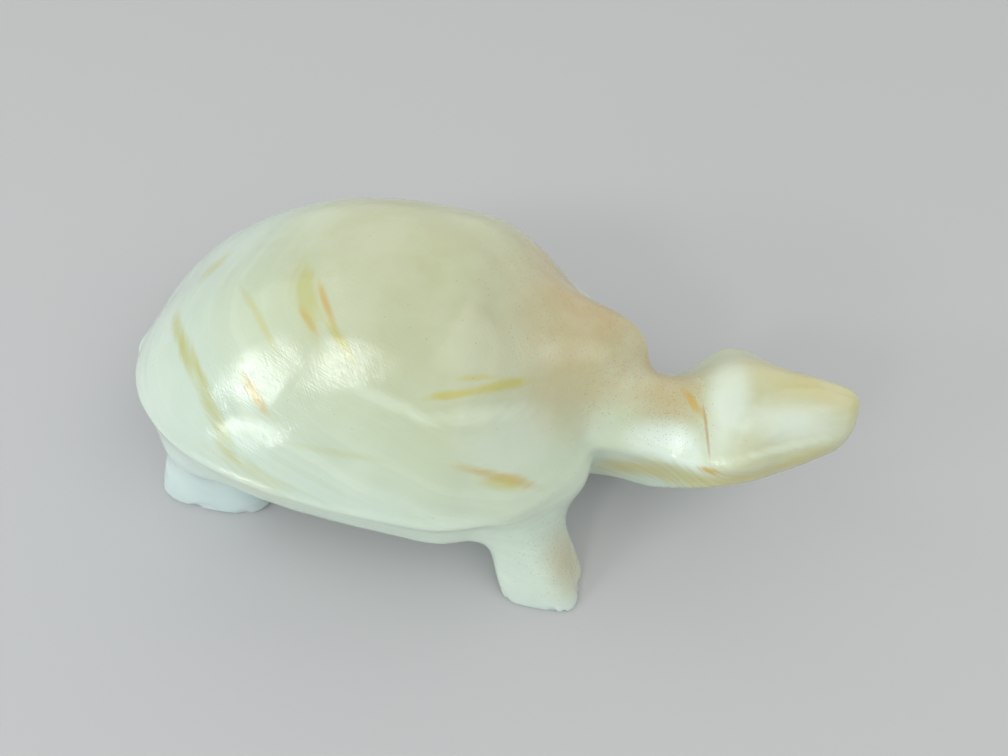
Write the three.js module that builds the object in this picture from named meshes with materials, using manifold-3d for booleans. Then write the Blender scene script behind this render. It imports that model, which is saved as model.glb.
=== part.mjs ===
// Stone turtle figurine: one carved, polished piece of banded green onyx.
// Millimetres. +X runs from tail to head, +Y to the turtle's left, +Z up.
// The flat soles stand on z = 0 and the origin is under the middle of the figure.
import * as THREE from 'three';
import { mergeVertices } from 'three/addons/utils/BufferGeometryUtils.js';
import Module from 'manifold-3d';

// The shell is a long dome, ground flatter on top and sloped off towards the neck. Its long rear
// passes into its short front over the middle.
const shell = {
  centreX: -7.55, front: 31.3, rear: 66.1, middle: 22, halfWidth: 38.9,
  rimHeight: 22.7, rimRise: 0.0339, top: 63.5,
  planPowerFront: 2.17, planPowerRear: 2.87, domePower: 1.32, footSoft: 1.5,
  topCut: 58.7, topSoft: 10.1,
  slopeAngle: 57.2, slopeHeight: 20, slopeDistance: 52, slopeSoft: 31.2,
};

// The upright edge of the shell under the dome, with a soft lip that fades out over the shoulders.
const rim = {
  height: 8.3, tuck: 1.04, lip: 0.6, lipSoft: 1, tailFlare: -1.56, tailLength: 56,
  fadeStart: -25.05, fadeLength: 32, underSoft: 3, topSoft: 1, overlap: 0.3, blend: 0.2, frontBlend: 2.5,
};

const belly = { inset: 8, sideInset: 9, centreHeight: 20, halfHeight: 11, power: 2.6, soft: 4 };

// A collar of stone between the shell's slope and the neck; the far side reaches further forward.
const collar = {
  x: 12.45, height: 28.3, long: 19.6, wide: 12.8, tall: 15.3, skew: 0.47,
  planPower: 2.3, sidePower: 2.2, soft: 9.5,
};

const shoulder = {
  x: 8.95, y: 17.5, height: 18.8, long: 15.6, wide: 11.3, tall: 10, power: 2.1, soft: 8,
};

// Each leg runs from a section at its top to its sole: centre x, y and half sizes along x and y.
// The soles are squarer than the tops.
const frontLeg = {
  topHeight: 20, top: [8.95, 21.5, 5.7, 9.8], sole: [19.85, 34.3, 8.3, 6.6],
  topPower: 2.2, solePower: 4, soft: 6.5,
};
const rearLeg = {
  topHeight: 14, top: [-52.55, 19.6, 11.4, 12.6], sole: [-54.65, 25.2, 13.1, 8.6],
  topPower: 2.4, solePower: 3.2, soft: 7,
};
const legCap = { rise: 4, soft: 8 };

// Neck and head, from inside the shell to the snout: half width, and the heights of the underside,
// of the crease where the sloped top meets the upright side, and of the crest.
const headStations = [
  { x: 17.55, half: 12.9, under: 11.8, eave: 25, crest: 34.9 },
  { x: 29.55, half: 11.4, under: 11.6, eave: 25.9, crest: 34.6 },
  { x: 39.55, half: 11.3, under: 10.3, eave: 24.3, crest: 33.3 },
  { x: 49.55, half: 15.8, under: 21.2, eave: 30.3, crest: 38.5 },
  { x: 62.55, half: 10.9, under: 23.2, eave: 29.8, crest: 39.8 },
  { x: 74.55, half: 4.9, under: 27.2, eave: 32.7, crest: 37.5 },
];
const head = {
  snoutX: 73.95, rootX: -0.45, offset: -4.1, turn: 2.1, turnStart: 22.55, turnLength: 50, bendPower: 1.5,
  ridgeRadius: 5, lean: 0.12, sideSoft: 2.6, underSoft: 2.4, snoutSoft: 3.5, rootSoft: 5,
  soft: 3.6, lowSoft: 1.2, lowHeight: 21, lowRise: 9,
};

// The stub of a tail on the rear of the shell, right of the middle.
const tailNub = { x: -71.55, y: -10.6, z: 23.3, radius: 2, soft: 3.5 };

const floorDepth = 3;

// Cell sizes of the surface grid: finer at the head, the rim and the legs.
const grid = {
  x: { from: -78.8, runs: [{ to: -42, cell: 3 }, { to: 12, cell: 3.6 }, { to: 78, cell: 2.6 }] },
  y: { from: -45, runs: [{ to: 45, cell: 2.9 }] },
  z: { from: -7.2, runs: [{ to: 12, cell: 2.4 }, { to: 28, cell: 2 }, { to: 66, cell: 3.3 }] },
};

// The block under the floor that cuts the soles flat.
const floorBlock = { width: 200, depth: 120, height: 20 };

const projection = { rounds: 4, step: 0.05, leastSlope: 0.2 };
const tiny = 1e-9;

const stoneColour = 0xd3dbbd;
const stoneRoughness = 0.28;

function clamp(value, low, high) {
  return Math.min(Math.max(value, low), high);
}

function smoothStep(value) {
  const t = clamp(value, 0, 1);
  return t * t * (3 - 2 * t);
}

// Union and intersection of two distances, rounded over the width `soft`.
function softUnion(a, b, soft) {
  const h = Math.max(soft - Math.abs(a - b), 0) / soft;
  return Math.min(a, b) - h * h * soft / 4;
}

function softCut(a, b, soft) {
  return -softUnion(-a, -b, soft);
}

// Distance to an oval in plan; the power squares off its corners.
function oval(x, y, long, wide, power) {
  const grown = Math.abs(x / long) ** power + Math.abs(y / wide) ** power;
  const reach = Math.max(grown, tiny) ** (1 / power);
  return Math.hypot(x, y) * (reach - 1) / reach;
}

function ovoid(x, y, z, long, wide, tall, planPower, sidePower) {
  const plan = Math.abs(x / long) ** planPower + Math.abs(y / wide) ** planPower;
  const grown = plan ** (sidePower / planPower) + Math.abs(z / tall) ** sidePower;
  const reach = Math.max(grown, tiny) ** (1 / sidePower);
  return Math.hypot(x, y, z) * (reach - 1) / reach;
}

// Smooth curve through the head stations for one of their sizes.
function alongHead(x, key) {
  const at = headStations.map((station) => station.x);
  const value = headStations.map((station) => station[key]);
  const last = at.length - 1;
  const slope = (i) => {
    const before = Math.max(i - 1, 0);
    const after = Math.min(i + 1, last);
    if (before === i || after === i) return (value[after] - value[before]) / (at[after] - at[before]);
    const left = at[i] - at[before];
    const right = at[after] - at[i];
    const fallLeft = (value[i] - value[before]) / left;
    const fallRight = (value[after] - value[i]) / right;
    return (fallLeft * right + fallRight * left) / (left + right);
  };
  const inside = clamp(x, at[0], at[last]);
  let i = 0;
  while (i < last - 1 && inside >= at[i + 1]) i++;
  const step = at[i + 1] - at[i];
  const t = (inside - at[i]) / step;
  return value[i] * (1 + 2 * t) * (1 - t) ** 2 + slope(i) * step * t * (1 - t) ** 2
    + value[i + 1] * t * t * (3 - 2 * t) + slope(i + 1) * step * t * t * (t - 1);
}

function shellDistance(x, y, z) {
  const along = x - shell.centreX;
  const forward = smoothStep(along / shell.middle + 0.5);
  const long = shell.rear + (shell.front - shell.rear) * forward;
  const power = shell.planPowerRear + (shell.planPowerFront - shell.planPowerRear) * forward;
  const above = z - (shell.rimHeight - shell.rimRise * along);
  const tall = shell.top - shell.rimHeight;
  let dome = ovoid(along, y, above, long, shell.halfWidth, tall, power, shell.domePower);
  const angle = shell.slopeAngle * Math.PI / 180;
  const climb = (z - shell.slopeHeight) * Math.sin(angle);
  const slope = along * Math.cos(angle) + climb - shell.slopeDistance;
  dome = softCut(dome, slope, shell.slopeSoft);
  dome = softCut(dome, z - shell.topCut, shell.topSoft);
  dome = softCut(dome, -above, shell.footSoft);

  const edge = 1 - smoothStep((x - rim.fadeStart) / rim.fadeLength);
  const tail = clamp(-along / rim.tailLength, 0, 1);
  const tuck = rim.tuck * edge * clamp(-above / rim.height, 0, 1);
  const lip = rim.lip * edge;
  const wallLong = long + lip + rim.tailFlare * tail * tail - tuck;
  const wall = oval(along, y, wallLong, shell.halfWidth + lip - tuck, power);
  let band = softCut(wall, -above - rim.height, rim.underSoft);
  band = softCut(band, above - rim.overlap, rim.topSoft);

  const plateLong = long - belly.inset;
  const plateWide = shell.halfWidth - belly.sideInset;
  const plate = ovoid(along, y, z - belly.centreHeight, plateLong, plateWide, belly.halfHeight,
    belly.power, belly.power);
  const blend = rim.blend + rim.lipSoft * edge + rim.frontBlend * (1 - edge);
  return softUnion(softUnion(dome, band, blend), plate, belly.soft);
}

function legDistance(x, y, z, leg) {
  const t = clamp(z / leg.topHeight, 0, 1);
  const [cx, cy, long, wide] = leg.sole.map((value, i) => value + (leg.top[i] - value) * t);
  const power = leg.solePower + (leg.topPower - leg.solePower) * t;
  const sides = oval(x - cx, y - cy, long, wide, power);
  return softCut(sides, z - leg.topHeight - legCap.rise, legCap.soft);
}

// A roof of two slopes under a rounded crest, on upright sides that lean in under it.
function headDistance(x, y, z) {
  const half = alongHead(x, 'half');
  const under = alongHead(x, 'under');
  const eave = alongHead(x, 'eave');
  const crest = alongHead(x, 'crest');
  const radius = head.ridgeRadius;
  const bend = (Math.max(x - head.turnStart, 0) / head.turnLength) ** head.bendPower;
  const across = Math.abs(y - head.offset - head.turn * bend);
  const roundness = Math.hypot(across, radius);
  const fall = (crest - eave) / (Math.hypot(half, radius) - radius);
  const roof = z - crest + fall * (roundness - radius);
  const top = roof / Math.hypot(1, fall * across / roundness);
  let solid = softCut(across - half + head.lean * (eave - z), top, head.sideSoft);
  solid = softCut(solid, under - z, head.underSoft);
  solid = softCut(solid, x - head.snoutX, head.snoutSoft);
  return softCut(solid, head.rootX - x, head.rootSoft);
}

// Negative inside the stone; the legs run a little below the floor until the soles are cut.
function turtleDistance(x, y, z) {
  let solid = shellDistance(x, y, z);
  for (const side of [-1, 1]) {
    const shoulderPart = ovoid(x - shoulder.x, y * side - shoulder.y, z - shoulder.height,
      shoulder.long, shoulder.wide, shoulder.tall, shoulder.power, shoulder.power);
    solid = softUnion(solid, shoulderPart, shoulder.soft);
    solid = softUnion(solid, legDistance(x, y * side, z, frontLeg), frontLeg.soft);
    solid = softUnion(solid, legDistance(x, y * side, z, rearLeg), rearLeg.soft);
  }
  const collarPart = ovoid(x - collar.x - collar.skew * y, y, z - collar.height,
    collar.long, collar.wide, collar.tall, collar.planPower, collar.sidePower);
  solid = softUnion(solid, collarPart, collar.soft);
  const rise = clamp((z - head.lowHeight) / head.lowRise, 0, 1);
  const headSoft = head.lowSoft + (head.soft - head.lowSoft) * rise;
  solid = softUnion(solid, headDistance(x, y, z), headSoft);
  const nubPart = Math.hypot(x - tailNub.x, y - tailNub.y, z - tailNub.z) - tailNub.radius;
  solid = softUnion(solid, nubPart, tailNub.soft);
  return Math.max(solid, -floorDepth - z);
}

function gridPlanes({ from, runs }) {
  const planes = [from];
  for (const { to, cell } of runs) {
    const start = planes[planes.length - 1];
    const count = Math.round((to - start) / cell);
    for (let i = 1; i <= count; i++) planes.push(start + (to - start) * i / count);
  }
  return planes;
}

// Slides a point along the surface normal until it lies on the surface.
function ontoSurface(point) {
  const e = projection.step;
  for (let i = 0; i < projection.rounds; i++) {
    const [x, y, z] = point;
    const d = turtleDistance(x, y, z);
    const gx = (turtleDistance(x + e, y, z) - turtleDistance(x - e, y, z)) / (2 * e);
    const gy = (turtleDistance(x, y + e, z) - turtleDistance(x, y - e, z)) / (2 * e);
    const gz = (turtleDistance(x, y, z + e) - turtleDistance(x, y, z - e)) / (2 * e);
    const scale = d / Math.max(gx * gx + gy * gy + gz * gz, projection.leastSlope);
    point[0] -= gx * scale;
    point[1] -= gy * scale;
    point[2] -= gz * scale;
  }
}

// One vertex in each grid cell that the surface crosses, joined by a quad across each crossed edge.
function surfaceMesh() {
  const xs = gridPlanes(grid.x);
  const ys = gridPlanes(grid.y);
  const zs = gridPlanes(grid.z);
  const node = (i, j, k) => (i * ys.length + j) * zs.length + k;
  const field = new Float64Array(xs.length * ys.length * zs.length);
  xs.forEach((x, i) => ys.forEach((y, j) => zs.forEach((z, k) => {
    field[node(i, j, k)] = turtleDistance(x, y, z);
  })));

  const corners = [0, 1, 2, 3, 4, 5, 6, 7].map((c) => [c >> 2, (c >> 1) & 1, c & 1]);
  const edges = [];
  for (const a of corners) {
    for (let axis = 0; axis < 3; axis++) {
      if (a[axis] === 0) edges.push([a, a.map((v, n) => (n === axis ? 1 : v))]);
    }
  }
  const points = [];
  const vertexOf = new Map();
  for (let i = 0; i < xs.length - 1; i++) {
    for (let j = 0; j < ys.length - 1; j++) {
      for (let k = 0; k < zs.length - 1; k++) {
        const sum = [0, 0, 0];
        let crossings = 0;
        for (const [a, b] of edges) {
          const fa = field[node(i + a[0], j + a[1], k + a[2])];
          const fb = field[node(i + b[0], j + b[1], k + b[2])];
          if (fa < 0 === fb < 0) continue;
          const t = fa / (fa - fb);
          sum[0] += xs[i + a[0]] + (xs[i + b[0]] - xs[i + a[0]]) * t;
          sum[1] += ys[j + a[1]] + (ys[j + b[1]] - ys[j + a[1]]) * t;
          sum[2] += zs[k + a[2]] + (zs[k + b[2]] - zs[k + a[2]]) * t;
          crossings++;
        }
        if (crossings === 0) continue;
        const point = sum.map((v) => v / crossings);
        ontoSurface(point);
        vertexOf.set(node(i, j, k), points.length);
        points.push(point);
      }
    }
  }

  const triangles = [];
  const span = (a, b) => Math.hypot(...points[a].map((v, n) => v - points[b][n]));
  const addQuad = (a, b, c, d, flip) => {
    const ring = flip ? [d, c, b, a] : [a, b, c, d];
    const halves = span(ring[0], ring[2]) <= span(ring[1], ring[3])
      ? [ring[0], ring[1], ring[2], ring[0], ring[2], ring[3]]
      : [ring[1], ring[2], ring[3], ring[1], ring[3], ring[0]];
    triangles.push(...halves);
  };
  const cell = (i, j, k) => vertexOf.get(node(i, j, k));
  for (let i = 1; i < xs.length - 1; i++) {
    for (let j = 1; j < ys.length - 1; j++) {
      for (let k = 1; k < zs.length - 1; k++) {
        const inside = field[node(i, j, k)] < 0;
        if (inside !== field[node(i + 1, j, k)] < 0) {
          addQuad(cell(i, j - 1, k - 1), cell(i, j, k - 1), cell(i, j, k), cell(i, j - 1, k), !inside);
        }
        if (inside !== field[node(i, j + 1, k)] < 0) {
          addQuad(cell(i - 1, j, k - 1), cell(i - 1, j, k), cell(i, j, k), cell(i, j, k - 1), !inside);
        }
        if (inside !== field[node(i, j, k + 1)] < 0) {
          addQuad(cell(i - 1, j - 1, k), cell(i, j - 1, k), cell(i, j, k), cell(i - 1, j, k), !inside);
        }
      }
    }
  }
  return { vertProperties: new Float32Array(points.flat()), triVerts: new Uint32Array(triangles) };
}

const wasm = await Module();
wasm.setup();

function solidOf({ vertProperties, triVerts }) {
  return new wasm.Manifold(new wasm.Mesh({ numProp: 3, vertProperties, triVerts }));
}

// A closed block with its top on the floor plane, with its shared corners merged.
function blockBelowFloor({ width, depth, height }) {
  const box = new THREE.BoxGeometry(width, depth, height);
  box.translate(0, 0, -height / 2);
  box.deleteAttribute('normal');
  box.deleteAttribute('uv');
  const merged = mergeVertices(box);
  return solidOf({
    vertProperties: new Float32Array(merged.attributes.position.array),
    triVerts: new Uint32Array(merged.index.array),
  });
}

function geometryOf(solid) {
  const { vertProperties, triVerts } = solid.getMesh();
  const geometry = new THREE.BufferGeometry();
  geometry.setAttribute('position', new THREE.BufferAttribute(new Float32Array(vertProperties), 3));
  geometry.setIndex(new THREE.BufferAttribute(new Uint32Array(triVerts), 1));
  geometry.computeVertexNormals();
  return geometry;
}

// The soles are cut flat on the floor plane.
function carveTurtle() {
  return solidOf(surfaceMesh()).subtract(blockBelowFloor(floorBlock));
}

const stone = new THREE.MeshStandardMaterial({
  color: stoneColour, roughness: stoneRoughness, metalness: 0,
});
const turtle = new THREE.Mesh(geometryOf(carveTurtle()), stone);
turtle.name = 'turtle';

const figurine = new THREE.Group();
figurine.add(turtle);

export default figurine;
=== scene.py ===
# Carved onyx turtle: the fine surface and the finish of the stone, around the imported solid.
import math

import bpy
import numpy as np
from mathutils import Matrix, Vector


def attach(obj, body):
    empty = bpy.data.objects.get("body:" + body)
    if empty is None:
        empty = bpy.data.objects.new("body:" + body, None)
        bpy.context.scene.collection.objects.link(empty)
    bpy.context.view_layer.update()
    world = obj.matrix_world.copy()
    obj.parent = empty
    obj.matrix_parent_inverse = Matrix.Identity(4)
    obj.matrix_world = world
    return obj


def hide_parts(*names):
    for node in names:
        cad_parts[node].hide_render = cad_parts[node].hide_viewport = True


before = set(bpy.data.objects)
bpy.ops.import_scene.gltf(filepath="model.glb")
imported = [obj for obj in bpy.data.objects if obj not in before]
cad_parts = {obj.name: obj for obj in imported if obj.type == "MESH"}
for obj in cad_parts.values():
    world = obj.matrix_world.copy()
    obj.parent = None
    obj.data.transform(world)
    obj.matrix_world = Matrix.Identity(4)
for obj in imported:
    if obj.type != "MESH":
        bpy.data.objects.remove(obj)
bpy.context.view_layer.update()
millimetre = 0.001
tiny = 1e-9  # keeps the roots away from 0
print("frame loaded:", sorted(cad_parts))


# The form of the stone, in millimetres: the shapes of the solid, blended into each other.
turtleForm = {
    "shell": {
        "centreX": -7.55, "front": 31.3, "rear": 66.1, "middle": 22, "halfWidth": 38.9,
        "rimHeight": 22.7, "rimRise": 0.0339, "top": 63.5,
        "planPowerFront": 2.17, "planPowerRear": 2.87, "domePower": 1.32,
        "topCut": 58.7, "topSoft": 10.1, "footSoft": 1.5,
        "slopeAngle": 57.2, "slopeHeight": 20, "slopeDistance": 52, "slopeSoft": 31.2,
    },
    "rim": {
        "height": 8.3, "overlap": 0.3, "tuck": 1.04, "lip": 0.6, "tailFlare": -1.56, "tailLength": 56,
        "fadeStart": -25.05, "fadeLength": 32, "topSoft": 1, "underSoft": 3,
        "blend": 0.2, "lipSoft": 1, "frontBlend": 2.5,
    },
    "belly": {
        "inset": 8, "sideInset": 9, "centreHeight": 20, "halfHeight": 11, "power": 2.6, "soft": 4,
    },
    "collar": {
        "x": 12.45, "height": 28.3, "long": 19.6, "wide": 12.8, "tall": 15.3, "skew": 0.47,
        "planPower": 2.3, "sidePower": 2.2, "soft": 9.5,
    },
    "shoulder": {
        "x": 8.95, "y": 17.5, "height": 18.8, "long": 15.6, "wide": 11.3, "tall": 10,
        "power": 2.1, "soft": 8,
    },
    "frontLeg": {
        "topHeight": 20, "top": (8.95, 21.5, 5.7, 9.8), "sole": (19.85, 34.3, 8.3, 6.6),
        "topPower": 2.2, "solePower": 4, "soft": 6.5,
    },
    "rearLeg": {
        "topHeight": 14, "top": (-52.55, 19.6, 11.4, 12.6), "sole": (-54.65, 25.2, 13.1, 8.6),
        "topPower": 2.4, "solePower": 3.2, "soft": 7,
    },
    "legCap": {"rise": 4, "soft": 8},
    "head": {
        "stations": (17.55, 29.55, 39.55, 49.55, 62.55, 74.55),
        "half": (12.9, 11.4, 11.3, 15.8, 10.9, 4.9),
        "under": (11.8, 11.6, 10.3, 21.2, 23.2, 27.2),
        "eave": (25, 25.9, 24.3, 30.3, 29.8, 32.7),
        "crest": (34.9, 34.6, 33.3, 38.5, 39.8, 37.5),
        "snoutX": 73.95, "rootX": -0.45, "offset": -4.1,
        "turn": 2.1, "turnStart": 22.55, "turnLength": 50, "bendPower": 1.5,
        "ridgeRadius": 5, "lean": 0.12,
        "sideSoft": 1.3, "underSoft": 1.8, "snoutSoft": 3.5, "rootSoft": 5,
        "soft": 3.6, "lowSoft": 1.2, "lowHeight": 21, "lowRise": 9,
    },
    "tailNub": {"x": -71.55, "y": -10.6, "z": 23.3, "radius": 2, "soft": 3.5},
    "soleSoft": 1.2,
}


def softUnion(a, b, soft):
    h = np.maximum(soft - np.abs(a - b), 0) / soft
    return np.minimum(a, b) - h * h * soft / 4


def softCut(a, b, soft):
    return -softUnion(-a, -b, soft)


def smoothStep(value):
    t = np.clip(value, 0, 1)
    return t * t * (3 - 2 * t)


def oval(x, y, long, wide, power):
    reach = np.maximum(np.abs(x / long) ** power + np.abs(y / wide) ** power, tiny) ** (1 / power)
    return np.hypot(x, y) * (reach - 1) / reach


def ovoid(x, y, z, long, wide, tall, planPower, sidePower):
    plan = (np.abs(x / long) ** planPower + np.abs(y / wide) ** planPower) ** (sidePower / planPower)
    reach = np.maximum(plan + np.abs(z / tall) ** sidePower, tiny) ** (1 / sidePower)
    return np.sqrt(x * x + y * y + z * z) * (reach - 1) / reach


# A smooth curve through the head's stations, for its half width, underside, eave or crest.
def alongHead(x, key):
    at = np.array(turtleForm["head"]["stations"], float)
    value = np.array(turtleForm["head"][key], float)
    fall = np.diff(value) / np.diff(at)
    left, right = np.diff(at)[:-1], np.diff(at)[1:]
    middle = (fall[:-1] * right + fall[1:] * left) / (left + right)
    slope = np.concatenate([fall[:1], middle, fall[-1:]])
    inside = np.clip(x, at[0], at[-1])
    i = np.clip(np.searchsorted(at, inside, side="right") - 1, 0, len(at) - 2)
    step = at[i + 1] - at[i]
    t = (inside - at[i]) / step
    return (value[i] * (1 + 2 * t) * (1 - t) ** 2 + slope[i] * step * t * (1 - t) ** 2
            + value[i + 1] * t * t * (3 - 2 * t) + slope[i + 1] * step * t * t * (t - 1))


def shellDistance(x, y, z):
    shell, rim, belly = turtleForm["shell"], turtleForm["rim"], turtleForm["belly"]
    along = x - shell["centreX"]
    forward = smoothStep(along / shell["middle"] + 0.5)
    long = shell["rear"] + (shell["front"] - shell["rear"]) * forward
    power = shell["planPowerRear"] + (shell["planPowerFront"] - shell["planPowerRear"]) * forward
    above = z - (shell["rimHeight"] - shell["rimRise"] * along)
    tall = shell["top"] - shell["rimHeight"]
    edge = 1 - smoothStep((x - rim["fadeStart"]) / rim["fadeLength"])
    dome = ovoid(along, y, above, long, shell["halfWidth"], tall, power, shell["domePower"])
    angle = math.radians(shell["slopeAngle"])
    slope = along * math.cos(angle) + (z - shell["slopeHeight"]) * math.sin(angle)
    dome = softCut(dome, slope - shell["slopeDistance"], shell["slopeSoft"])
    dome = softCut(dome, z - shell["topCut"], shell["topSoft"])
    dome = softCut(dome, -above, shell["footSoft"])
    tail = np.clip(-along / rim["tailLength"], 0, 1)
    tuck = rim["tuck"] * edge * np.clip(-above / rim["height"], 0, 1)
    lip = rim["lip"] * edge
    wallLong = long + lip + rim["tailFlare"] * tail * tail - tuck
    wall = oval(along, y, wallLong, shell["halfWidth"] + lip - tuck, power)
    band = softCut(wall, -above - rim["height"], rim["underSoft"])
    band = softCut(band, above - rim["overlap"], rim["topSoft"])
    plate = ovoid(along, y, z - belly["centreHeight"],
                  long - belly["inset"], shell["halfWidth"] - belly["sideInset"], belly["halfHeight"],
                  belly["power"], belly["power"])
    blend = rim["blend"] + rim["lipSoft"] * edge + rim["frontBlend"] * (1 - edge)
    return softUnion(softUnion(dome, band, blend), plate, belly["soft"])


def legDistance(x, y, z, leg):
    t = np.clip(z / leg["topHeight"], 0, 1)
    centreX, centreY, long, wide = [
        low + (high - low) * t for low, high in zip(leg["sole"], leg["top"])]
    power = leg["solePower"] + (leg["topPower"] - leg["solePower"]) * t
    wall = oval(x - centreX, y - centreY, long, wide, power)
    cap = turtleForm["legCap"]
    return softCut(wall, z - leg["topHeight"] - cap["rise"], cap["soft"])


def headDistance(x, y, z):
    head = turtleForm["head"]
    half, under, eave, crest = [alongHead(x, key) for key in ("half", "under", "eave", "crest")]
    radius = head["ridgeRadius"]
    bend = (np.maximum(x - head["turnStart"], 0) / head["turnLength"]) ** head["bendPower"]
    across = np.abs(y - head["offset"] - head["turn"] * bend)
    roundness = np.hypot(across, radius)
    fall = (crest - eave) / (np.hypot(half, radius) - radius)
    top = (z - crest + fall * (roundness - radius)) / np.hypot(1, fall * across / roundness)
    solid = softCut(across - half + head["lean"] * (eave - z), top, head["sideSoft"])
    solid = softCut(solid, under - z, head["underSoft"])
    solid = softCut(solid, x - head["snoutX"], head["snoutSoft"])
    return softCut(solid, head["rootX"] - x, head["rootSoft"])


def turtleDistance(x, y, z):
    shoulder, collar = turtleForm["shoulder"], turtleForm["collar"]
    head, nub = turtleForm["head"], turtleForm["tailNub"]
    solid = shellDistance(x, y, z)
    for side in (-1, 1):
        shoulderPart = ovoid(x - shoulder["x"], y * side - shoulder["y"], z - shoulder["height"],
                             shoulder["long"], shoulder["wide"], shoulder["tall"],
                             shoulder["power"], shoulder["power"])
        solid = softUnion(solid, shoulderPart, shoulder["soft"])
        for leg in (turtleForm["frontLeg"], turtleForm["rearLeg"]):
            solid = softUnion(solid, legDistance(x, y * side, z, leg), leg["soft"])
    collarPart = ovoid(x - collar["x"] - collar["skew"] * y, y, z - collar["height"],
                       collar["long"], collar["wide"], collar["tall"],
                       collar["planPower"], collar["sidePower"])
    solid = softUnion(solid, collarPart, collar["soft"])
    rise = np.clip((z - head["lowHeight"]) / head["lowRise"], 0, 1)
    headSoft = head["lowSoft"] + (head["soft"] - head["lowSoft"]) * rise
    solid = softUnion(solid, headDistance(x, y, z), headSoft)
    nubPart = np.sqrt((x - nub["x"]) ** 2 + (y - nub["y"]) ** 2 + (z - nub["z"]) ** 2) - nub["radius"]
    solid = softUnion(solid, nubPart, nub["soft"])
    return softCut(solid, -z, turtleForm["soleSoft"])


# The mesh: a grid around the stone, in millimetres, and the steps that draw its points onto the surface.
stoneMesh = {
    "low": (-77.1, -43.3, -1.3), "high": (77.4, 43.3, 60.2), "cell": 0.75,
    "rounds": 4, "probe": 0.04, "leastSteepness": 0.2,
}


# Slides points along the gradient until they lie on the surface.
def ontoSurface(points):
    e = stoneMesh["probe"]
    for _ in range(stoneMesh["rounds"]):
        x, y, z = points.T
        distance = turtleDistance(x, y, z)
        gradient = np.stack([
            turtleDistance(x + e, y, z) - turtleDistance(x - e, y, z),
            turtleDistance(x, y + e, z) - turtleDistance(x, y - e, z),
            turtleDistance(x, y, z + e) - turtleDistance(x, y, z - e),
        ], axis=1) / (2 * e)
        scale = distance / np.maximum((gradient ** 2).sum(axis=1), stoneMesh["leastSteepness"])
        points = points - gradient * np.clip(scale, -1, 1)[:, None]
    return points


# One point in each grid cell that the surface crosses, and a quad across each crossed grid edge.
def surfaceQuads(low, high, cell):
    axes = [np.arange(a, b + cell, cell) for a, b in zip(low, high)]
    shape = [len(axis) for axis in axes]
    field = np.empty(shape, np.float32)
    for i, x in enumerate(axes[0]):
        y, z = np.meshgrid(axes[1], axes[2], indexing="ij")
        field[i] = turtleDistance(np.full_like(y, x), y, z)
    inside = field < 0
    corners = [(a, b, c) for a in (0, 1) for b in (0, 1) for c in (0, 1)]

    def shifted(array, corner):
        return array[tuple(slice(o, n - 1 + o) for o, n in zip(corner, shape))]

    total = sum(shifted(inside, corner).astype(np.int8) for corner in corners)
    cells = np.argwhere((total > 0) & (total < len(corners)))
    number = -np.ones([n - 1 for n in shape], np.int64)
    number[tuple(cells.T)] = np.arange(len(cells))

    sums = np.zeros((len(cells), 3))
    count = np.zeros(len(cells))
    for a in corners:
        for axis in range(3):
            if a[axis]:
                continue
            b = tuple(1 if n == axis else v for n, v in enumerate(a))
            fa = field[tuple((cells + a).T)]
            fb = field[tuple((cells + b).T)]
            crossed = (fa < 0) != (fb < 0)
            t = np.where(crossed, fa / np.where(crossed, fa - fb, 1), 0)
            place = cells + np.array(a) + t[:, None] * (np.array(b) - np.array(a))
            sums += place * crossed[:, None]
            count += crossed
    points = np.array(low) + sums / count[:, None] * cell

    quads = []
    for axis in range(3):
        u, v = (axis + 1) % 3, (axis + 2) % 3
        start = [slice(1, n - 1) for n in shape]
        here = inside[tuple(start)]
        start[axis] = slice(2, shape[axis])
        after = inside[tuple(start)]
        at = np.argwhere(here != after) + 1
        outward = inside[tuple(at.T)]
        ring = []  # the four cells around each crossed edge
        for du, dv in ((1, 1), (0, 1), (0, 0), (1, 0)):
            step = np.zeros(3, int)
            step[u], step[v] = -du, -dv
            ring.append(number[tuple((at + step).T)])
        ring = np.stack(ring, axis=1)
        ring[~outward] = ring[~outward][:, ::-1]
        quads.append(ring)
    return points, np.concatenate(quads)


def carveStone():
    points, quads = surfaceQuads(stoneMesh["low"], stoneMesh["high"], stoneMesh["cell"])
    points = ontoSurface(points)
    mesh = bpy.data.meshes.new("onyxTurtle")
    mesh.from_pydata((points * millimetre).tolist(), [], quads.tolist())
    mesh.polygons.foreach_set("use_smooth", np.ones(len(mesh.polygons), bool))
    mesh.update()
    piece = bpy.data.objects.new("onyxTurtle", mesh)
    bpy.context.scene.collection.objects.link(piece)
    return piece


stone = carveStone()
print("stone meshed:", len(stone.data.polygons), "faces")


# Small helpers for node trees. An input takes a value, or the output of another node.
def feed(tree, socket, value):
    if isinstance(value, bpy.types.NodeSocket):
        tree.links.new(value, socket)
    else:
        socket.default_value = value


def addNode(tree, kind, settings=None, **inputs):
    node = tree.nodes.new(kind)
    for key, value in (settings or {}).items():
        setattr(node, key, value)
    for key, value in inputs.items():
        feed(tree, node.inputs[key.replace("_", " ")], value)
    return node


def calculate(tree, operation, a, b, clamp=False):
    node = addNode(tree, "ShaderNodeMath", {"operation": operation, "use_clamp": clamp})
    feed(tree, node.inputs[0], a)
    feed(tree, node.inputs[1], b)
    return node.outputs[0]


def vectorMath(tree, operation, a, b=None, scale=None):
    node = addNode(tree, "ShaderNodeVectorMath", {"operation": operation})
    feed(tree, node.inputs[0], a)
    if b is not None:
        feed(tree, node.inputs[1], b)
    if scale is not None:
        feed(tree, node.inputs["Scale"], scale)
    return node.outputs["Value" if operation in ("DOT_PRODUCT", "LENGTH") else "Vector"]


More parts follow.
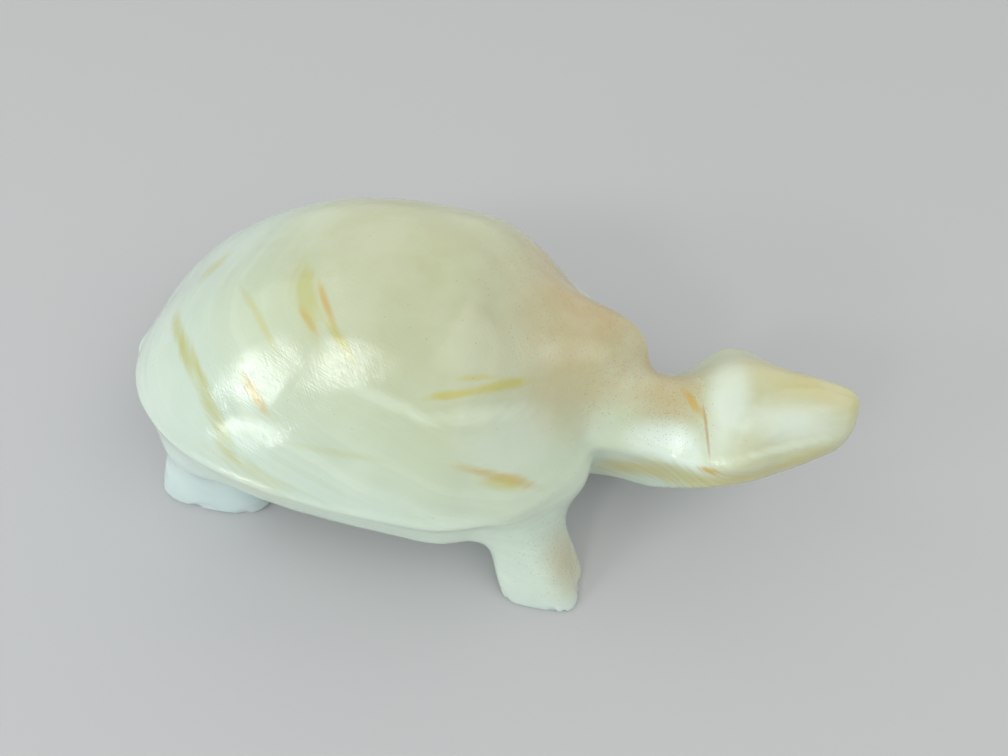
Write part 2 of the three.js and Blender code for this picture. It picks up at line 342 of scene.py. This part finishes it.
def remap(tree, value, fromLow, fromHigh, toLow=0.0, toHigh=1.0, kind="SMOOTHSTEP"):
    node = addNode(tree, "ShaderNodeMapRange", {"interpolation_type": kind}, Value=value,
                   From_Min=fromLow, From_Max=fromHigh, To_Min=toLow, To_Max=toHigh)
    return node.outputs["Result"]


def mixColour(tree, factor, a, b):
    node = addNode(tree, "ShaderNodeMix", {"data_type": "RGBA", "clamp_factor": True})
    for socket, value in ((node.inputs[0], factor), (node.inputs[6], a), (node.inputs[7], b)):
        feed(tree, socket, (*value, 1) if isinstance(value, tuple) else value)
    return node.outputs[2]


def ramp(tree, factor, stops):
    node = addNode(tree, "ShaderNodeValToRGB", Fac=factor)
    elements = node.color_ramp.elements
    while len(elements) < len(stops):
        elements.new(0.5)
    for element, (position, colour) in zip(elements, stops):
        element.position = position
        element.color = (*colour, 1)
    return node.outputs["Color"]


# Noise of 0 to 1. A pattern without a size is for a vector that is stretched already.
def noise(tree, vector, pattern):
    node = addNode(tree, "ShaderNodeTexNoise", Vector=vector, Scale=1 / pattern.get("size", 1),
                   Detail=pattern["detail"], Roughness=pattern["roughness"])
    return node.outputs["Fac"]


# The same noise around 0, as far apart as the spread.
def centred(tree, value, spread):
    return calculate(tree, "MULTIPLY", calculate(tree, "SUBTRACT", value, 0.5), spread)


# Banded onyx: thin layers tilted down towards the head, with painted light in the layer colours. Lengths and
# places in millimetres.
milk = (0.78, 0.86, 0.74)
onyx = {
    "layers": {
        "normal": (0.28, -0.16, 0.95), "bow": (0.0011, 0.0022, 0.0), "low": 0.0, "high": 60.0,
        # Blue-white low down to yellow sage on top: partly the stone's layers, partly painted light on the
        # low flank and painted shade on top.
        "colours": (
            (0.0, (0.57, 0.68, 0.66)), (0.3, (0.58, 0.68, 0.60)), (0.5, (0.58, 0.68, 0.58)),
            (0.65, (0.55, 0.62, 0.46)), (0.8, (0.53, 0.56, 0.38)), (1.0, (0.52, 0.53, 0.34)),
        ),
    },
    "warp": {"size": 26.0, "detail": 3, "roughness": 0.45, "depth": 4.0},
    "bands": {
        "perMillimetre": 0.42, "detail": 4, "roughness": 0.62,
        "fadeFrom": 30.0, "fadeTo": 46.0, "least": 0.1,
        "pale": {"edge": (0.5, 0.66), "strength": 0.17, "colour": milk},
        "dark": {"edge": (0.48, 0.34), "strength": 0.13, "colour": (0.46, 0.50, 0.32)},
    },
    "bandPatch": {"size": 22.0, "detail": 2, "roughness": 0.5, "edge": (0.38, 0.62)},
    "grain": {"stretch": (0.16, 0.16, 0.5), "detail": 4, "roughness": 0.6},
    "zones": {"edge": (1.15, 0.25), "tintRagged": 0.4, "dustRagged": 0.5},
    "cloud": {
        "size": 14.0, "detail": 4, "roughness": 0.55, "edge": (0.4, 0.65), "strength": 0.14, "colour": milk,
    },
    "fibres": {"length": 11.0, "width": 1.1, "detail": 3, "roughness": 0.6},
    "vein": {"depth": 6.0, "depthAxis": (0.1, -0.63, 0.77), "edge": (1.25, 0.2), "ragged": 1.5},
    "specks": {
        "size": 0.32, "chance": 0.002, "dustChance": 0.34,
        "edge": (0.42, 0.12), "strength": 0.6, "colour": (0.16, 0.12, 0.07),
    },
    "scratches": (
        {"along": (0.92, -0.31, -0.21), "fine": 0.28, "long": 5.0, "detail": 1.5, "roughness": 0.6},
        {"along": (0.5, -0.6, -0.62), "fine": 0.35, "long": 4.0, "detail": 1.5, "roughness": 0.6},
    ),
    "bump": {"strength": 0.4, "height": 0.07},
    "polish": {
        "size": 9.0, "detail": 3, "roughness": 0.5, "edge": (0.35, 0.65), "sharper": -0.04, "duller": 0.05,
    },
    "cleanRoughness": 0.13, "dustRoughness": 0.5,
    "shader": {
        "Subsurface Weight": 0.6, "Subsurface Scale": 0.005, "Subsurface Radius": (1.0, 0.9, 0.65),
        "IOR": 1.5,
    },
}

# Broad tints where the stone is warmer or cooler, and some painted highlights and shade: centre, half reach,
# colour and strength.
tan, straw, sage = (0.52, 0.40, 0.20), (0.60, 0.54, 0.26), (0.53, 0.54, 0.34)
warm, ice, frostAndHighlight = (0.57, 0.52, 0.32), (0.60, 0.72, 0.72), (0.76, 0.85, 0.79)
tintsAndPaintedLight = (
    {"at": (8, 6, 47), "reach": (16, 30, 12), "colour": warm, "strength": 0.7},
    {"at": (17, -8, 38), "reach": (14, 18, 14), "colour": warm, "strength": 0.8},
    {"at": (16, 10, 40), "reach": (20, 22, 16), "colour": tan, "strength": 0.85},
    {"at": (28, 8, 31), "reach": (13, 20, 12), "colour": tan, "strength": 0.8},
    {"at": (38, -3, 32), "reach": (10, 11, 6), "colour": tan, "strength": 0.7},
    {"at": (25, -32, 8), "reach": (8, 8, 12), "colour": tan, "strength": 0.5},
    {"at": (63, 1, 39), "reach": (22, 10, 9), "colour": straw, "strength": 0.7},
    # Painted highlight: a pale patch on the neck above its lower crease.
    {"at": (41.5, -14, 27), "reach": (13, 7, 5), "colour": frostAndHighlight, "strength": 0.9},
    {"at": (9, -25, 34), "reach": (16, 10, 9), "colour": frostAndHighlight, "strength": 0.35},
    # Painted highlights on the head's near face and on its transverse ridge.
    {"at": (64.5, -11, 36), "reach": (15, 7, 5), "colour": frostAndHighlight, "strength": 0.6},
    {"at": (48.5, -8, 37), "reach": (5, 14, 12), "colour": frostAndHighlight, "strength": 0.6},
    # Sage over the top of the shell: partly the stone's tone, partly painted shade where less light falls on
    # top.
    {"at": (-7, 10, 58), "reach": (42, 30, 14), "colour": sage, "strength": 0.7},
    {"at": (-54, -30, 8), "reach": (20, 16, 16), "colour": ice, "strength": 0.7},
)

# Where dust and dark specks gather: centre, half reach and strength.
dustZones = (
    {"at": (27, 4, 33), "reach": (14, 20, 11), "strength": 1.0},
    {"at": (38, -6, 30), "reach": (11, 12, 9), "strength": 1.0},
    {"at": (21, -32, 9), "reach": (10, 9, 12), "strength": 0.7},
    {"at": (9, 8, 46), "reach": (18, 24, 14), "strength": 0.35},
)

# Veins that reach the surface, and a painted highlight along the head's lower crease: both ends, half width,
# colour and strength.
olive, gold, amber = (0.50, 0.50, 0.19), (0.54, 0.50, 0.12), (0.56, 0.38, 0.08)
rust, pearl, honey = (0.42, 0.20, 0.03), (0.74, 0.82, 0.68), (0.56, 0.52, 0.23)
veinsAndCreaseHighlight = (
    {"from": (-62, -11, 37.5), "to": (-54.5, -20.5, 38), "wide": 1.8, "colour": olive, "strength": 0.65},
    {"from": (-56.5, -18, 38.5), "to": (-48.5, -26, 35), "wide": 2.0, "colour": olive, "strength": 0.75},
    {"from": (-50, -24.5, 36), "to": (-43.5, -31, 29.5), "wide": 2.2, "colour": olive, "strength": 0.75},
    {"from": (-44.5, -30, 31.5), "to": (-42, -32.5, 24), "wide": 2.2, "colour": olive, "strength": 0.55},
    {"from": (-44.5, -31.5, 24.5), "to": (-27.5, -35.5, 20.5), "wide": 4.0, "colour": gold, "strength": 0.5},
    {"from": (-59, -2.5, 41.5), "to": (-56, 1, 43.5), "wide": 2.2, "colour": gold, "strength": 0.45},
    {"from": (-46, -10.5, 48.5), "to": (-39.5, -16.5, 48), "wide": 0.9, "colour": olive, "strength": 0.4},
    {"from": (-41, -15, 48.5), "to": (-34.5, -22, 45.5), "wide": 0.9, "colour": gold, "strength": 0.4},
    {"from": (-33.5, -8, 54), "to": (-27, -19, 49.5), "wide": 3.0, "colour": olive, "strength": 0.75},
    {"from": (-29, -11.5, 54), "to": (-23.5, -19, 50.5), "wide": 0.9, "colour": amber, "strength": 0.75},
    {"from": (-31, -16.5, 51), "to": (-26.5, -19.5, 49), "wide": 1.0, "colour": amber, "strength": 0.5},
    {"from": (-25.5, -17.5, 50.5), "to": (-20, -22, 47.5), "wide": 1.3, "colour": gold, "strength": 0.6},
    {"from": (-40.5, -24.5, 40.5), "to": (-34.5, -29.5, 36), "wide": 1.2, "colour": amber, "strength": 0.6},
    {"from": (-7, -26, 44), "to": (4.5, -21, 44), "wide": 0.9, "colour": gold, "strength": 0.75},
    {"from": (1.5, -22.5, 44.5), "to": (11.5, -15.5, 42), "wide": 1.2, "colour": gold, "strength": 0.7},
    {"from": (-1.5, -22, 46.5), "to": (6.5, -18.5, 45), "wide": 0.7, "colour": gold, "strength": 0.5},
    {"from": (0.5, -31, 33.5), "to": (15.5, -28, 26.5), "wide": 1.3, "colour": amber, "strength": 0.6},
    {"from": (4.5, -31, 30.5), "to": (12.5, -29.5, 27.5), "wide": 1.6, "colour": gold, "strength": 0.45},
    {"from": (-21, -25.5, 43.5), "to": (-4.5, -27.5, 40.5), "wide": 1.8, "colour": pearl, "strength": 0.4},
    {"from": (-7.5, -28, 40.5), "to": (13, -18.5, 37), "wide": 2.0, "colour": pearl, "strength": 0.4},
    {"from": (-30.5, -32, 32), "to": (-12.5, -32.5, 32.5), "wide": 0.9, "colour": olive, "strength": 0.3},
    {"from": (41, -5, 33.5), "to": (44.5, -10, 33.5), "wide": 0.9, "colour": amber, "strength": 0.8},
    {"from": (44, -7, 34.5), "to": (47, -17.5, 29), "wide": 0.25, "colour": rust, "strength": 0.5},
    {"from": (45.5, -17.5, 27), "to": (49, -18.5, 28), "wide": 0.8, "colour": amber, "strength": 0.8},
    {"from": (28, -14, 16.5), "to": (46, -17, 21.5), "wide": 3.4, "colour": honey, "strength": 0.85},
    {"from": (44, -17.5, 22), "to": (60, -15, 26.5), "wide": 2.8, "colour": honey, "strength": 0.85},
    {"from": (57, -15.5, 26.5), "to": (71, -8, 28.5), "wide": 2.4, "colour": honey, "strength": 0.8},
    # Pale streaks along the head's lower crease: partly the stone's pale layer, partly painted highlight on
    # the crease.
    {"from": (34, -14, 26), "to": (49, -17.5, 30), "wide": 1.3, "colour": pearl, "strength": 0.5},
    {"from": (48, -17.5, 30), "to": (68, -9, 32.5), "wide": 1.2, "colour": pearl, "strength": 0.5},
)


# How high a point lies in the pile of layers, which is tilted, bowed and a little warped.
def layerLevel(tree, point):
    layers, warp = onyx["layers"], onyx["warp"]
    flat = vectorMath(tree, "DOT_PRODUCT", point, layers["normal"])
    bow = vectorMath(tree, "DOT_PRODUCT", vectorMath(tree, "MULTIPLY", point, point), layers["bow"])
    stray = centred(tree, noise(tree, point, warp), warp["depth"])
    return calculate(tree, "ADD", calculate(tree, "ADD", flat, bow), stray)


# The colour by height in the pile of layers: partly the layers' own tones, partly painted light, cooler and
# bluer low down, yellower and darker on top where less light falls.
def layerColourAndPaintedLight(tree, level):
    layers = onyx["layers"]
    return ramp(tree, remap(tree, level, layers["low"], layers["high"], kind="LINEAR"), layers["colours"])


# Thin pale and dark bands along the layers, in patches, fading out towards the top.
def addBands(tree, point, level, colour):
    bands, patch = onyx["bands"], onyx["bandPatch"]
    pattern = addNode(tree, "ShaderNodeTexNoise", {"noise_dimensions": "1D"}, W=level,
                      Scale=bands["perMillimetre"], Detail=bands["detail"], Roughness=bands["roughness"])
    inPatch = remap(tree, noise(tree, point, patch), *patch["edge"], bands["least"], 1)
    lowDown = remap(tree, level, bands["fadeTo"], bands["fadeFrom"], bands["least"], 1)
    show = calculate(tree, "MULTIPLY", inPatch, lowDown)
    for band in (bands["pale"], bands["dark"]):
        amount = remap(tree, pattern.outputs["Fac"], *band["edge"], 0, band["strength"])
        colour = mixColour(tree, calculate(tree, "MULTIPLY", amount, show), colour, band["colour"])
    return colour


# The zone's strength in the middle of a soft ellipsoid and 0 outside it, with a ragged edge.
def zoneAmount(tree, point, zone, grain, ragged):
    offset = vectorMath(tree, "SUBTRACT", point, zone["at"])
    scaled = vectorMath(tree, "MULTIPLY", offset, tuple(1 / reach for reach in zone["reach"]))
    distance = calculate(tree, "ADD", vectorMath(tree, "LENGTH", scaled), centred(tree, grain, ragged))
    return remap(tree, distance, *onyx["zones"]["edge"], 0, zone["strength"])


def addClouds(tree, point, colour):
    cloud = onyx["cloud"]
    amount = remap(tree, noise(tree, point, cloud), *cloud["edge"], 0, cloud["strength"])
    return mixColour(tree, amount, colour, cloud["colour"])


# Noise drawn out along the layers, as fibres in the stone.
def layerFibres(tree, point, level):
    fibres = onyx["fibres"]
    flat = vectorMath(tree, "SCALE", point, scale=1 / fibres["length"])
    parts = addNode(tree, "ShaderNodeSeparateXYZ", Vector=flat)
    stretched = addNode(tree, "ShaderNodeCombineXYZ", X=parts.outputs["X"], Y=parts.outputs["Y"],
                        Z=calculate(tree, "DIVIDE", level, fibres["width"]))
    return noise(tree, stretched.outputs[0], fibres)


# A spindle between the two ends of a vein, drawn out into the stone, with ragged edges.
def veinAmount(tree, point, vein, fibres):
    shape = onyx["vein"]
    start, end = Vector(vein["from"]), Vector(vein["to"])
    along = (end - start).normalized()
    deep = Vector(shape["depthAxis"])
    deep = (deep - along * deep.dot(along)).normalized()
    turned = Matrix((along, deep.cross(along), deep)).transposed()
    spindle = addNode(tree, "ShaderNodeMapping", {"vector_type": "TEXTURE"}, Vector=point,
                      Location=(start + end) / 2, Rotation=turned.to_euler(),
                      Scale=((end - start).length / 2 + vein["wide"], vein["wide"], shape["depth"]))
    distance = calculate(tree, "ADD", vectorMath(tree, "LENGTH", spindle.outputs[0]),
                         centred(tree, fibres, shape["ragged"]))
    return remap(tree, distance, *shape["edge"], 0, vein["strength"])


def totalDust(tree, point, grain):
    total = None
    for zone in dustZones:
        amount = zoneAmount(tree, point, zone, grain, onyx["zones"]["dustRagged"])
        total = amount if total is None else calculate(tree, "MAXIMUM", total, amount)
    return total


# Small dark specks: the middles of cells, more of them where dust gathers.
def addSpecks(tree, point, dust, colour):
    specks = onyx["specks"]
    cells = addNode(tree, "ShaderNodeTexVoronoi", Vector=point, Scale=1 / specks["size"])
    draw = addNode(tree, "ShaderNodeSeparateColor", Color=cells.outputs["Color"]).outputs[0]
    chance = calculate(tree, "ADD", specks["chance"],
                       calculate(tree, "MULTIPLY", dust, specks["dustChance"]))
    kept = calculate(tree, "LESS_THAN", draw, chance)
    middle = remap(tree, cells.outputs["Distance"], *specks["edge"], 0, specks["strength"])
    return mixColour(tree, calculate(tree, "MULTIPLY", kept, middle), colour, specks["colour"])


# Noise drawn out along one direction, as fine parallel scratches.
def scratchHeight(tree, point, scratch):
    along = Vector(scratch["along"]).normalized()
    side = along.orthogonal().normalized()
    lengths = {"X": (along, scratch["long"]), "Y": (side, scratch["fine"]),
               "Z": (along.cross(side), scratch["fine"])}
    stretched = addNode(tree, "ShaderNodeCombineXYZ", **{
        name: calculate(tree, "MULTIPLY", vectorMath(tree, "DOT_PRODUCT", point, tuple(axis)), 1 / length)
        for name, (axis, length) in lengths.items()})
    return noise(tree, stretched.outputs[0], scratch)


def surfaceNormal(tree, point):
    heights = [scratchHeight(tree, point, scratch) for scratch in onyx["scratches"]]
    bump = addNode(tree, "ShaderNodeBump", Strength=onyx["bump"]["strength"],
                   Distance=onyx["bump"]["height"] * millimetre, Height=calculate(tree, "ADD", *heights))
    return bump.outputs["Normal"]


def surfaceRoughness(tree, point, dust):
    polish = onyx["polish"]
    patchy = remap(tree, noise(tree, point, polish), *polish["edge"], polish["sharper"], polish["duller"])
    dusty = remap(tree, dust, 0, 1, onyx["cleanRoughness"], onyx["dustRoughness"])
    return calculate(tree, "ADD", patchy, dusty)


def onyxMaterial():
    material = bpy.data.materials.new("greenOnyx")
    material.use_nodes = True
    tree = material.node_tree
    tree.nodes.clear()
    place = addNode(tree, "ShaderNodeTexCoord").outputs["Object"]
    point = vectorMath(tree, "SCALE", place, scale=1 / millimetre)
    grain = noise(tree, vectorMath(tree, "MULTIPLY", point, onyx["grain"]["stretch"]), onyx["grain"])
    level = layerLevel(tree, point)
    fibres = layerFibres(tree, point, level)
    dust = totalDust(tree, point, grain)

    colour = addBands(tree, point, level, layerColourAndPaintedLight(tree, level))
    for tint in tintsAndPaintedLight:
        amount = zoneAmount(tree, point, tint, grain, onyx["zones"]["tintRagged"])
        colour = mixColour(tree, amount, colour, tint["colour"])
    colour = addClouds(tree, point, colour)
    for vein in veinsAndCreaseHighlight:
        colour = mixColour(tree, veinAmount(tree, point, vein, fibres), colour, vein["colour"])
    colour = addSpecks(tree, point, dust, colour)

    shader = addNode(tree, "ShaderNodeBsdfPrincipled", Base_Color=colour,
                     Roughness=surfaceRoughness(tree, point, dust), Normal=surfaceNormal(tree, point))
    for name, value in onyx["shader"].items():
        shader.inputs[name].default_value = value
    addNode(tree, "ShaderNodeOutputMaterial", Surface=shader.outputs["BSDF"])
    return material


# Hand grinding leaves the polished surface slightly wavy, and the edges of the soles are chipped.
relief = {
    "Wave Depth": 0.16, "Wave Size": 15.0, "Ripple Depth": 0.035, "Ripple Size": 4.0,
    "Chip Depth": 0.6, "Chip Size": 3.2, "Chip Height": 3.0, "Chip From": 0.06, "Chip To": 0.14,
    "Seed": 3.0,
}


def reliefTree(material):
    tree = bpy.data.node_groups.new("grindingRelief", "GeometryNodeTree")
    tree.interface.new_socket("Geometry", in_out="INPUT", socket_type="NodeSocketGeometry")
    for name in relief:
        tree.interface.new_socket(name, in_out="INPUT", socket_type="NodeSocketFloat")
    tree.interface.new_socket("Geometry", in_out="OUTPUT", socket_type="NodeSocketGeometry")
    source = addNode(tree, "NodeGroupInput").outputs
    position = addNode(tree, "GeometryNodeInputPosition").outputs[0]
    normal = addNode(tree, "GeometryNodeInputNormal").outputs[0]
    place = vectorMath(tree, "SCALE", position, scale=1 / millimetre)
    height = addNode(tree, "ShaderNodeSeparateXYZ", Vector=place).outputs["Z"]

    def reliefNoise(size, detail, spread):
        pattern = addNode(tree, "ShaderNodeTexNoise", {"noise_dimensions": "4D"}, Vector=place,
                          W=source["Seed"], Scale=calculate(tree, "DIVIDE", 1.0, size), Detail=detail)
        return centred(tree, pattern.outputs[0], spread)

    usualStray = 0.25  # how far the noise mostly strays from its middle
    waves = reliefNoise(source["Wave Size"], 1.0, source["Wave Depth"])
    ripples = reliefNoise(source["Ripple Size"], 1.0, source["Ripple Depth"])
    swell = calculate(tree, "DIVIDE", calculate(tree, "ADD", waves, ripples), usualStray)
    above = calculate(tree, "DIVIDE", height, source["Chip Height"], clamp=True)
    chips = remap(tree, reliefNoise(source["Chip Size"], 2.0, 1.0), source["Chip From"], source["Chip To"])
    chips = calculate(tree, "MULTIPLY", calculate(tree, "MULTIPLY", chips, source["Chip Depth"]),
                      calculate(tree, "SUBTRACT", 1.0, above))
    outward = calculate(tree, "SUBTRACT", calculate(tree, "MULTIPLY", swell, above), chips)

    # Chips go sideways at the floor, so the soles stay on it.
    direction = addNode(tree, "ShaderNodeMix", {"data_type": "VECTOR"})
    feed(tree, direction.inputs[0], above)
    feed(tree, direction.inputs[4], vectorMath(tree, "MULTIPLY", normal, (1, 1, 0)))
    feed(tree, direction.inputs[5], normal)
    offset = vectorMath(tree, "SCALE", direction.outputs[1],
                        scale=calculate(tree, "MULTIPLY", outward, millimetre))
    moved = addNode(tree, "GeometryNodeSetPosition", Geometry=source["Geometry"], Offset=offset)
    realized = addNode(tree, "GeometryNodeRealizeInstances", Geometry=moved.outputs["Geometry"])
    finished = addNode(tree, "GeometryNodeSetMaterial", Geometry=realized.outputs["Geometry"],
                       Material=material)
    addNode(tree, "NodeGroupOutput", Geometry=finished.outputs["Geometry"])
    return tree


def roughenStone(piece, material):
    tree = reliefTree(material)
    modifier = piece.modifiers.new("relief", "NODES")
    modifier.node_group = tree
    for item in tree.interface.items_tree:
        if item.name in relief:
            modifier[item.identifier] = relief[item.name]
    shaped = piece.evaluated_get(bpy.context.evaluated_depsgraph_get())
    mesh = bpy.data.meshes.new_from_object(shaped)
    piece.modifiers.clear()
    piece.data = mesh
    mesh.name = "onyxTurtle"


roughenStone(stone, onyxMaterial())
print("stone ground and chipped")
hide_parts("turtle")
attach(stone, "root")
print("stone finished")


studio = {
    "floorSize": 4.0, "floorColour": (0.52, 0.52, 0.53), "floorRoughness": 0.7,
    "skyColour": (1.0, 0.98, 0.95), "skyStrength": 0.5,
    "lamps": {
        "windowPane": {"azimuth": -50, "elevation": 22, "distance": 0.9, "size": (0.26, 0.05), "power": 1.2},
        "windowTop": {"azimuth": -27, "elevation": 33, "distance": 0.9, "size": (0.16, 0.12), "power": 1.0},
        "windowLow": {"azimuth": -38, "elevation": 5, "distance": 0.9, "size": (0.24, 0.07), "power": 0.9},
        "roomLeft": {"azimuth": -80, "elevation": 40, "distance": 1.1, "size": (1.0, 0.8), "power": 2.3},
        "roomRight": {"azimuth": 60, "elevation": 48, "distance": 1.1, "size": (1.3, 1.0), "power": 4.8},
        "wallBehind": {"azimuth": 175, "elevation": 25, "distance": 1.2, "size": (2.6, 1.6), "power": 6.0},
    },
    "lampTarget": (0, 0, 0.03), "lampColour": (0.94, 1.0, 1.0),
}


def buildFloor():
    half = studio["floorSize"] / 2
    corners = [(-half, -half, 0), (half, -half, 0), (half, half, 0), (-half, half, 0)]
    mesh = bpy.data.meshes.new("studioFloor")
    mesh.from_pydata(corners, [], [(0, 1, 2, 3)])
    floor = bpy.data.objects.new("studioFloor", mesh)
    bpy.context.scene.collection.objects.link(floor)
    paper = bpy.data.materials.new("palePaper")
    paper.use_nodes = True
    shader = paper.node_tree.nodes["Principled BSDF"]
    shader.inputs["Base Color"].default_value = (*studio["floorColour"], 1)
    shader.inputs["Roughness"].default_value = studio["floorRoughness"]
    mesh.materials.append(paper)


# Azimuth 0 is in front of the turtle's right side, and turns towards the tail when negative.
def hangLamp(name, lamp):
    azimuth, elevation = math.radians(lamp["azimuth"]), math.radians(lamp["elevation"])
    level = math.cos(elevation)
    away = Vector((math.sin(azimuth) * level, -math.cos(azimuth) * level, math.sin(elevation)))
    light = bpy.data.lights.new(name, "AREA")
    light.shape = "RECTANGLE"
    light.size, light.size_y = lamp["size"]
    light.energy = lamp["power"]
    light.color = studio["lampColour"]
    holder = bpy.data.objects.new(name, light)
    holder.matrix_world = (Matrix.Translation(Vector(studio["lampTarget"]) + away * lamp["distance"])
                           @ away.to_track_quat("Z", "Y").to_matrix().to_4x4())
    bpy.context.scene.collection.objects.link(holder)


def lightStudio():
    world = bpy.data.worlds.new("softSky")
    world.use_nodes = True
    background = world.node_tree.nodes["Background"]
    background.inputs["Color"].default_value = (*studio["skyColour"], 1)
    background.inputs["Strength"].default_value = studio["skyStrength"]
    bpy.context.scene.world = world
    bpy.context.scene.view_settings.view_transform = "Standard"
    for name, lamp in studio["lamps"].items():
        hangLamp(name, lamp)


buildFloor()
lightStudio()
print("studio set")


# A phone held over the turtle's right side, looking down on it.
viewpoint = {
    "position": (0.01985, -0.103, 0.149), "lookDown": 50.63, "turnLeft": 8.82, "roll": 3.32,
    "lens": 27.04, "sensorWidth": 36, "nearest": 0.005,
}


def placeCamera():
    camera = bpy.data.cameras.new("viewpoint")
    camera.lens = viewpoint["lens"]
    camera.sensor_width = viewpoint["sensorWidth"]
    camera.sensor_fit = "HORIZONTAL"
    camera.clip_start = viewpoint["nearest"]
    holder = bpy.data.objects.new("viewpoint", camera)
    holder.matrix_world = (Matrix.Translation(viewpoint["position"])
                           @ Matrix.Rotation(math.radians(viewpoint["turnLeft"]), 4, "Z")
                           @ Matrix.Rotation(math.radians(90 - viewpoint["lookDown"]), 4, "X")
                           @ Matrix.Rotation(math.radians(viewpoint["roll"]), 4, "Z"))
    bpy.context.scene.collection.objects.link(holder)
    bpy.context.scene.camera = holder


placeCamera()
print("camera placed")
